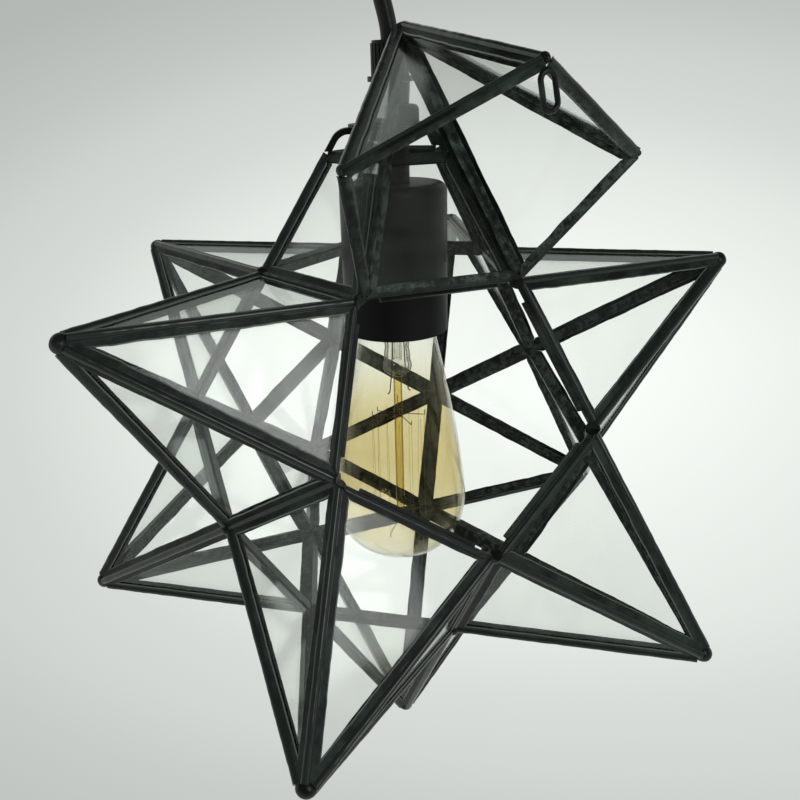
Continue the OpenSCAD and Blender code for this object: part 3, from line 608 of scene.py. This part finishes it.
def filament_wires():
    """The cage: hooks out from both buttons with bent ends, the fine filament led up and down between
    them, and the two leads that come down through the stem."""
    wires = []
    t = np.linspace(0, 1, 24)
    for n in range(HOOKS):
        a = 2 * np.pi * (n + 0.35) / HOOKS
        for z, sign in ((HOOK_Z, 1), (HOOK_LOW_Z, -1)):
            r = 2.0 + (CAGE_R - 2.0) * np.minimum(1, t / 0.85)
            h = z + sign * (2.2 * np.sin(n * 2.1) * t + 2.4 * np.maximum(0, t - 0.85) / 0.15)
            wires.append(tube(np.stack([r * np.cos(a), r * np.sin(a), h], -1), 0.2, 6))
        for step in (0, 0.5):
            b = a + 2 * np.pi * step / HOOKS
            r = CAGE_R - 0.5 * np.sin(np.pi * t) * np.cos(3 * n)
            h = HOOK_Z + (HOOK_LOW_Z - HOOK_Z) * t
            wires.append(tube(np.stack([r * np.cos(b), r * np.sin(b), h], -1), 0.06, 6))
    for side in (-1, 1):
        bend = np.maximum(0, t - 0.85) / 0.15
        x = side * (3.4 + 1.5 * t + 0.9 * bend)
        wires.append(tube(np.stack([x, -1.5 + 0 * t, 30 - 13 * t + 1.2 * bend], -1), 0.28, 8))
        wires.append(tube(np.stack([side * (2.7 + 0.7 * t ** 2), -1.5 + 0 * t, 57 - 27 * t], -1), 0.28, 8))
    return wires


# Heights of the cord's ends, its diameter and how far it bows out
CORD_LOW, CORD_TOP, CORD_D, CORD_LEAN = -89.57, -37.05, 7.2, 4.6


def cord_path():
    """The cord's middle line: up from the lamp, bowed to the left by the square of a half sine."""
    t = np.linspace(0, 1, 49)
    return np.stack([-CORD_LEAN * np.sin(np.pi * t) ** 2, 0 * t, CORD_LOW + (CORD_TOP - CORD_LOW) * t], -1)


# The stage, in metres: the camera's place and its three directions, where the backdrop is brightest as seen
# from there, what the lights aim at, and the floor's radius and height
EYE = (-0.13780, -0.33624, -0.10461)
EYE_RIGHT = (0.92089251, -0.3892032, -0.0218601)
EYE_UP = (0.16028682, 0.32694359, 0.93135172)
EYE_AHEAD = (0.35533805, 0.86117871, -0.36346404)
GLOW = (0.48, 0.80, -0.35)
AIM = (0, 0, -0.25)
FLOOR_R, FLOOR_Z = 6, -0.95
# Grey levels of the backdrop by distance from its brightest spot
LEVELS = [(0.0, 1.0), (0.3, 0.865), (0.55, 0.74), (0.68, 0.64), (0.8, 0.59), (0.9, 0.52), (1.06, 0.44),
          (1.4, 0.41), (1.95, 0.46), (2.25, 0.11), (3.2, 0.05)]


def backdrop_colour(s, direction, colour):
    """The backdrop's colour in a direction: brightest behind the lamp and a little to the right, and
    dimmer above and below. Behind the photographer it is pale to look at, but dim in reflections."""
    unit = s.node("ShaderNodeVectorMath", {"operation": "NORMALIZE"}, {0: direction})
    off = s.node("ShaderNodeVectorMath", {"operation": "SUBTRACT"}, {0: unit, 1: GLOW})
    flat = s.node("ShaderNodeVectorMath", {"operation": "MULTIPLY"}, {0: off, 1: (1.2, 1.2, 2.1)})
    far = s.node("ShaderNodeVectorMath", {"operation": "LENGTH"}, {0: flat}, output=1)
    reach = 3.3
    stops = [(d / reach, (v, v, v)) for d, v in LEVELS]
    level = s.node("ShaderNodeValToRGB", {"stops": stops}, {"Fac": far * (1 / reach)})
    shown = s.node("ShaderNodeLightPath", output="Is Camera Ray") * far.step(0.9, 1.3) * 0.48
    level = s.node("ShaderNodeMath", {"operation": "MAXIMUM"}, {0: level, 1: shown})
    return s.node("ShaderNodeVectorMath", {"operation": "SCALE"}, {0: colour, "Scale": level * 1.1})


def seen_directly(s):
    """1 for rays that show the backdrop: from the camera, off metal or through glass."""
    rays = [s.node("ShaderNodeLightPath", output=name) for name in
            ("Is Camera Ray", "Is Glossy Ray", "Is Transmission Ray")]
    return (rays[0] + rays[1] + rays[2]).clamp(0, 1)


def floor_material(colour):
    """Pale floor that keeps a soft shadow near the lamp and fades into the backdrop further out."""
    s = Shade("floor_pale")
    at = s.node("ShaderNodeTexCoord", output="Object")
    away = s.node("ShaderNodeVectorMath", {"operation": "LENGTH"}, {0: at}, output=1)
    lit = s.node("ShaderNodeBsdfDiffuse", None, {"Color": (0.80, 0.82, 0.80)})
    place = s.node("ShaderNodeVectorMath", {"operation": "SUBTRACT"}, {0: at, 1: EYE})
    glow = s.node("ShaderNodeEmission", None, {"Color": backdrop_colour(s, place, colour), "Strength": 1.0})
    near = s.blend(seen_directly(s) * (0.86 + away.step(1.2, 3) * 0.14), lit, glow)
    return s.surface(s.blend(away.step(1.2, 4.5), near, s.node("ShaderNodeBsdfTransparent")))


def studio(colour):
    """The world: a plain soft light, seen as the backdrop."""
    s = Shade("studio", "worlds")
    direction = s.node("ShaderNodeTexCoord", output="Generated")
    light = s.node("ShaderNodeBackground", None, {"Color": (0.95, 1.0, 0.97), "Strength": 0.5})
    view = s.node("ShaderNodeBackground", None,
                  {"Color": backdrop_colour(s, direction, colour), "Strength": 1.0})
    return s.surface(s.blend(seen_directly(s), light, view))


class StarSettings(bpy.types.PropertyGroup):
    """Widths of the seams"""
    bead_r: bpy.props.FloatProperty(name="Bead radius", description="Radius of the solder bead along a seam",
                                    default=1.62 * MM, min=0.001, max=0.0018, unit="LENGTH", precision=4)
    flange: bpy.props.FloatProperty(name="Foil width", description="Width of the foil outside a pane",
                                    default=4.6 * MM, min=0.003, max=0.006, unit="LENGTH", precision=4)
    inner: bpy.props.FloatProperty(name="Inner foil width", description="Width of the foil inside a pane",
                                   default=3.9 * MM, min=0.003, max=0.005, unit="LENGTH", precision=4)


class LampSettings(bpy.types.PropertyGroup):
    """Looks of the bulb"""
    tint: bpy.props.FloatVectorProperty(name="Bulb tint", description="Colour of the bulb's glass",
                                        subtype="COLOR", default=(0.930, 0.885, 0.740), min=0, max=1)


class StageSettings(bpy.types.PropertyGroup):
    """Camera and backdrop"""
    lens: bpy.props.FloatProperty(name="Lens", description="Focal length of the camera", default=36.95,
                                  min=10, max=200, unit="CAMERA")
    backdrop: bpy.props.FloatVectorProperty(name="Backdrop", description="Colour behind the lamp",
                                            subtype="COLOR", default=(0.955, 1.0, 0.955), min=0, max=1)


class STAR_OT_camera(bpy.types.Operator):
    """Stand the camera where the photographer stood"""
    bl_idname = "star.camera"
    bl_label = "Camera"

    def execute(self, context):
        data = bpy.data.cameras.new("camera")
        data.sensor_width = 36
        data.lens = context.scene.star_stage.lens
        data.clip_start = 0.01
        cam = bpy.data.objects.new("camera", data)
        context.scene.collection.objects.link(cam)
        place = Matrix((EYE_RIGHT, EYE_UP, -Vector(EYE_AHEAD))).transposed().to_4x4()
        place.translation = Vector(EYE)
        cam.matrix_world = place
        context.scene.camera = cam
        return {"FINISHED"}


class STAR_OT_cord(bpy.types.Operator):
    """Hang the cord between the ribbed grip and the ceiling rose"""
    bl_idname = "star.cord"
    bl_label = "Cord"

    def execute(self, context):
        path = cord_path()
        points, faces = tube(path, CORD_D / 2, 24)
        obj = build("cord_round", [(points * MM, faces)], "frame", cord_jacket(),
                    replaces=["cord"])
        return {"FINISHED"}


class STAR_OT_ridges(bpy.types.Operator):
    """Solder the ridges of the twelve points"""
    bl_idname = "star.ridges"
    bl_label = "Ridges"

    def execute(self, context):
        s = context.scene.star_seams
        bead, flange, inner = s.bead_r / MM, s.flange / MM, s.inner / MM
        for i, name in enumerate(POINTS):
            parts, flags = [], []
            for k in range(5):
                seed = 100 + i * 50 + k * 9
                if i == 0:
                    length = VENT_Y / math.sin(math.radians(72))
                    run = seam(length, 1, FOOT_MITRE, VENT_MITRE, SEAM_START + 0.2, length - 0.1, seed,
                               bead, flange, inner)
                else:
                    start = 3.3 if i == 1 else SEAM_START
                    run = seam(RIDGE, 1, FOOT_MITRE, TIP_MITRE, start, RIDGE - TIP_GAP, seed,
                               bead, flange, inner)
                parts.append((placed(run[0], point_at(i) @ ridge_at(k)), run[1]))
                flags.append(run[2])
            build("seam_ridges_" + name, parts, "door" if i == 1 else "frame", patina(),
                  replaces=["ridges_" + name], attribute=("side", flags))
        return {"FINISHED"}


class STAR_OT_valleys(bpy.types.Operator):
    """Solder the valleys where the points meet"""
    bl_idname = "star.valleys"
    bl_label = "Valleys"

    def execute(self, context):
        s = context.scene.star_seams
        for name, sides in VALLEYS.items():
            parts, flags = [], []
            for i, k in sides:
                run = seam(EDGE, -1, FOOT_MITRE, FOOT_MITRE, SEAM_START, EDGE - SEAM_START,
                           900 + i * 31 + k * 7, s.bead_r / MM, s.flange / MM, s.inner / MM)
                parts.append((placed(run[0], point_at(i) @ pane_at(k)), run[1]))
                flags.append(run[2])
            build("seam_valleys_" + name, parts, "frame", patina(), replaces=["valleys_" + name],
                  attribute=("side", flags))
        return {"FINISHED"}


class STAR_OT_opening(bpy.types.Operator):
    """Finish the rim of the opening and the foot of the door"""
    bl_idname = "star.opening"
    bl_label = "Door opening"

    def execute(self, context):
        s = context.scene.star_seams
        flange, inner = s.flange / MM, s.inner / MM
        corner = [(FOIL_TOP / math.tan(FOLD) + RIM_LIFT / math.sin(FOLD), FOIL_TOP)]
        bead = [(2.1 + 1.05 * math.cos(a), FOIL_TOP + 1.05 * math.sin(a)) for a in np.linspace(math.pi, 0, 9)]
        slot = [(flange - 0.1, FOIL_TOP), (flange, GAP), (HEART - GAP, GAP), (HEART - GAP, -GLASS - GAP),
                (inner, -GLASS - GAP), (inner, -DEEP)]
        rim_back = [(0.6, -DEEP), (0.6, -RIM_LIFT), (RIM_LIFT / math.sin(FOLD), -RIM_LIFT)]
        foot_back = [(DEEP / math.tan(TILT) + RIM_LIFT / math.sin(TILT), -DEEP),
                     (RIM_LIFT / math.sin(FOLD), 0)]
        for name, body, sides, back, old in (
                ("seam_opening_rim", "frame", RIM, rim_back, "opening_rim"),
                ("seam_door_foot", "door", [(1, k) for k in range(5)], foot_back, "door_foot_rim")):
            parts, flags = [], []
            for n, (i, k) in enumerate(sides):
                beaded = n > 0          # side 0 is the hinge's
                outline = corner + (bead if beaded else []) + slot + back
                run = half_seam(outline, 1500 + n * 13 + len(name), range(2, 9) if beaded else ())
                place = point_at(i) @ pane_at(k)
                parts.append((placed(run[0], place), run[1]))
                flags.append(run[2])
                if body == "frame":
                    ledge = [[x, y, z] for x in (9, EDGE - 9) for y in (-1.2, 1.0)
                             for z in (-DEEP, -RIM_LIFT)]
                    quads = [[0, 1, 3, 2], [4, 6, 7, 5], [0, 4, 5, 1],
                             [2, 3, 7, 6], [0, 2, 6, 4], [1, 5, 7, 3]]
                    parts.append((placed(np.array(ledge, float), place), quads))
                    flags.append(np.zeros(8))
            build(name, parts, body, patina(), replaces=[old], attribute=("side", flags))
        return {"FINISHED"}


class STAR_OT_solder(bpy.types.Operator):
    """Set the solder balls at the tips and the door's corners"""
    bl_idname = "star.solder"
    bl_label = "Solder balls"

    def execute(self, context):
        tip = Matrix.Translation((0, 0, CORE_R + POINT_H - 5.2))
        tip_r = 4.1
        parts = []
        for i in range(2, 12):
            ball = blob(tip_r, 60 + i)
            parts.append((placed(ball[0], point_at(i) @ tip), ball[1]))
        build("solder_tips", parts, "frame", solder(), replaces=["tip_solder"])
        ball = blob(tip_r, 80)
        parts = [(placed(ball[0], point_at(1) @ tip), ball[1])]
        for k in range(5):
            for radius, along in ((1.34, 1.84), (1.9, 3.1)):
                ball = blob(radius, 90 + k, 12, 16)
                place = point_at(1) @ ridge_at(k) @ Matrix.Translation((along, 0, 0))
                parts.append((placed(ball[0], place), ball[1]))
        build("solder_door", parts, "door", solder(), replaces=["door_solder"])
        return {"FINISHED"}


class STAR_OT_bulb(bpy.types.Operator):
    """Blow the bulb and wind its filament"""
    bl_idname = "star.bulb"
    bl_label = "Bulb"

    def execute(self, context):
        amber, clear, rod, dark = lamp_finishes(context.scene.star_lamp.tint)
        self.add("bulb_envelope", [bulb_envelope()], "amber_glass", amber, "bulb_glass")
        self.add("bulb_stem_blown", bulb_stem(), "clear_glass", clear, "bulb_stem")
        self.add("filament_rod_glass", filament_rod(), "amber_rod", rod, "filament_rod")
        self.add("filament_wires", filament_wires(), "filament", dark, "filament")
        return {"FINISHED"}

    def add(self, name, parts, slot, material, old):
        build(name, [(placed(p, STAR), f) for p, f in parts], "bulb", material, replaces=[old])


class STAR_OT_finishes(bpy.types.Operator):
    """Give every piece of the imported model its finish"""
    bl_idname = "star.finishes"
    bl_label = "Finishes"

    def execute(self, context):
        amber, clear, rod, wire = lamp_finishes(context.scene.star_lamp.tint)
        black = painted("cup_black_satin", (0.0035, 0.0036, 0.0036), 0.40, 2400, 0.2)
        plastic = painted("fitting_black_plastic", (0.006, 0.006, 0.0065), 0.32, 1200)
        by_slot = {
            "star_glass": pane_glass(), "foil": patina(), "solder": solder(),
            "wire": bare_metal("hinge_wire", (0.30, 0.31, 0.31), 0.3),
            "zinc": bare_metal("zinc_plate", (0.62, 0.63, 0.64), 0.32),
            "brass": bare_metal("brass_plain", (0.72, 0.52, 0.24), 0.25),
            "holder": painted("holder_black", (0.02, 0.02, 0.02), 0.6, 900),
            "pale_plastic": painted("block_pale_plastic", (0.78, 0.78, 0.72), 0.5, 900),
            "black_metal": black, "black_plastic": plastic, "cord_jacket": cord_jacket(),
            "amber_glass": amber, "clear_glass": clear, "amber_rod": rod, "filament": wire,
        }
        for part in frame["record"]["subparts"]:
            obj = NODES[part["node"]]
            obj.data.materials.clear()
            obj.data.materials.append(by_slot[part["material_slot"]])
            for face in obj.data.polygons:
                face.material_index = 0
        return {"FINISHED"}


class STAR_OT_stage(bpy.types.Operator):
    """Lay the floor and hang the lights"""
    bl_idname = "star.stage"
    bl_label = "Stage"

    def execute(self, context):
        scene = context.scene
        colour = tuple(scene.star_stage.backdrop)
        a = np.arange(96) * 2 * np.pi / 96
        rim = np.stack([FLOOR_R * np.cos(a), FLOOR_R * np.sin(a), 0 * a + FLOOR_Z], -1)
        mesh = bpy.data.meshes.new("floor")
        mesh.from_pydata(rim.tolist(), [], [list(range(96))])
        floor = bpy.data.objects.new("floor", mesh)
        scene.collection.objects.link(floor)
        floor.data.materials.append(floor_material(colour))
        scene.world = studio(colour)

        for name, place, width, height, power in (
                ("key", (-0.9, -0.9, 0.55), 0.7, 0.7, 12),
                ("fill", (1.1, -0.7, -0.1), 0.9, 0.9, 6),
                ("back", (0.4, 1.1, 0.4), 0.8, 0.8, 10),
                ("window", (0.20, -1.25, 0.32), 0.44, 0.74, 3.4)):
            data = bpy.data.lights.new(name, "AREA")
            data.shape, data.size, data.size_y, data.energy = "RECTANGLE", width, height, power
            lamp = bpy.data.objects.new(name, data)
            scene.collection.objects.link(lamp)
            lamp.location = place
            lamp.visible_glossy = name == "window"
            lamp.rotation_euler = (Vector(AIM) - Vector(place)).to_track_quat("-Z", "Y").to_euler()
        scene.view_settings.view_transform = "Standard"
        scene.cycles.transparent_max_bounces = 64
        return {"FINISHED"}


class STAR_PT_panel(bpy.types.Panel):
    bl_idname = "STAR_PT_panel"
    bl_label = "Glass star pendant"
    bl_space_type = "VIEW_3D"
    bl_region_type = "UI"
    bl_category = "Star"

    def draw(self, context):
        for group in ("star_seams", "star_lamp", "star_stage"):
            settings = getattr(context.scene, group)
            for name in settings.__annotations__:
                self.layout.prop(settings, name)
        for step in STEPS:
            self.layout.operator(step.bl_idname)


STEPS = (STAR_OT_camera, STAR_OT_cord, STAR_OT_finishes, STAR_OT_ridges, STAR_OT_valleys, STAR_OT_opening,
         STAR_OT_solder, STAR_OT_bulb, STAR_OT_stage)
CLASSES = (StarSettings, LampSettings, StageSettings) + STEPS + (STAR_PT_panel,)


def register():
    for cls in CLASSES:
        bpy.utils.register_class(cls)
    bpy.types.Scene.star_seams = bpy.props.PointerProperty(type=StarSettings)
    bpy.types.Scene.star_lamp = bpy.props.PointerProperty(type=LampSettings)
    bpy.types.Scene.star_stage = bpy.props.PointerProperty(type=StageSettings)


def unregister():
    for name in ("star_seams", "star_lamp", "star_stage"):
        delattr(bpy.types.Scene, name)
    for cls in reversed(CLASSES):
        bpy.utils.unregister_class(cls)


def main():
    register()
    for step in STEPS:
        group, name = step.bl_idname.split(".")
        getattr(getattr(bpy.ops, group), name)()


if __name__ == "__main__":
    main()
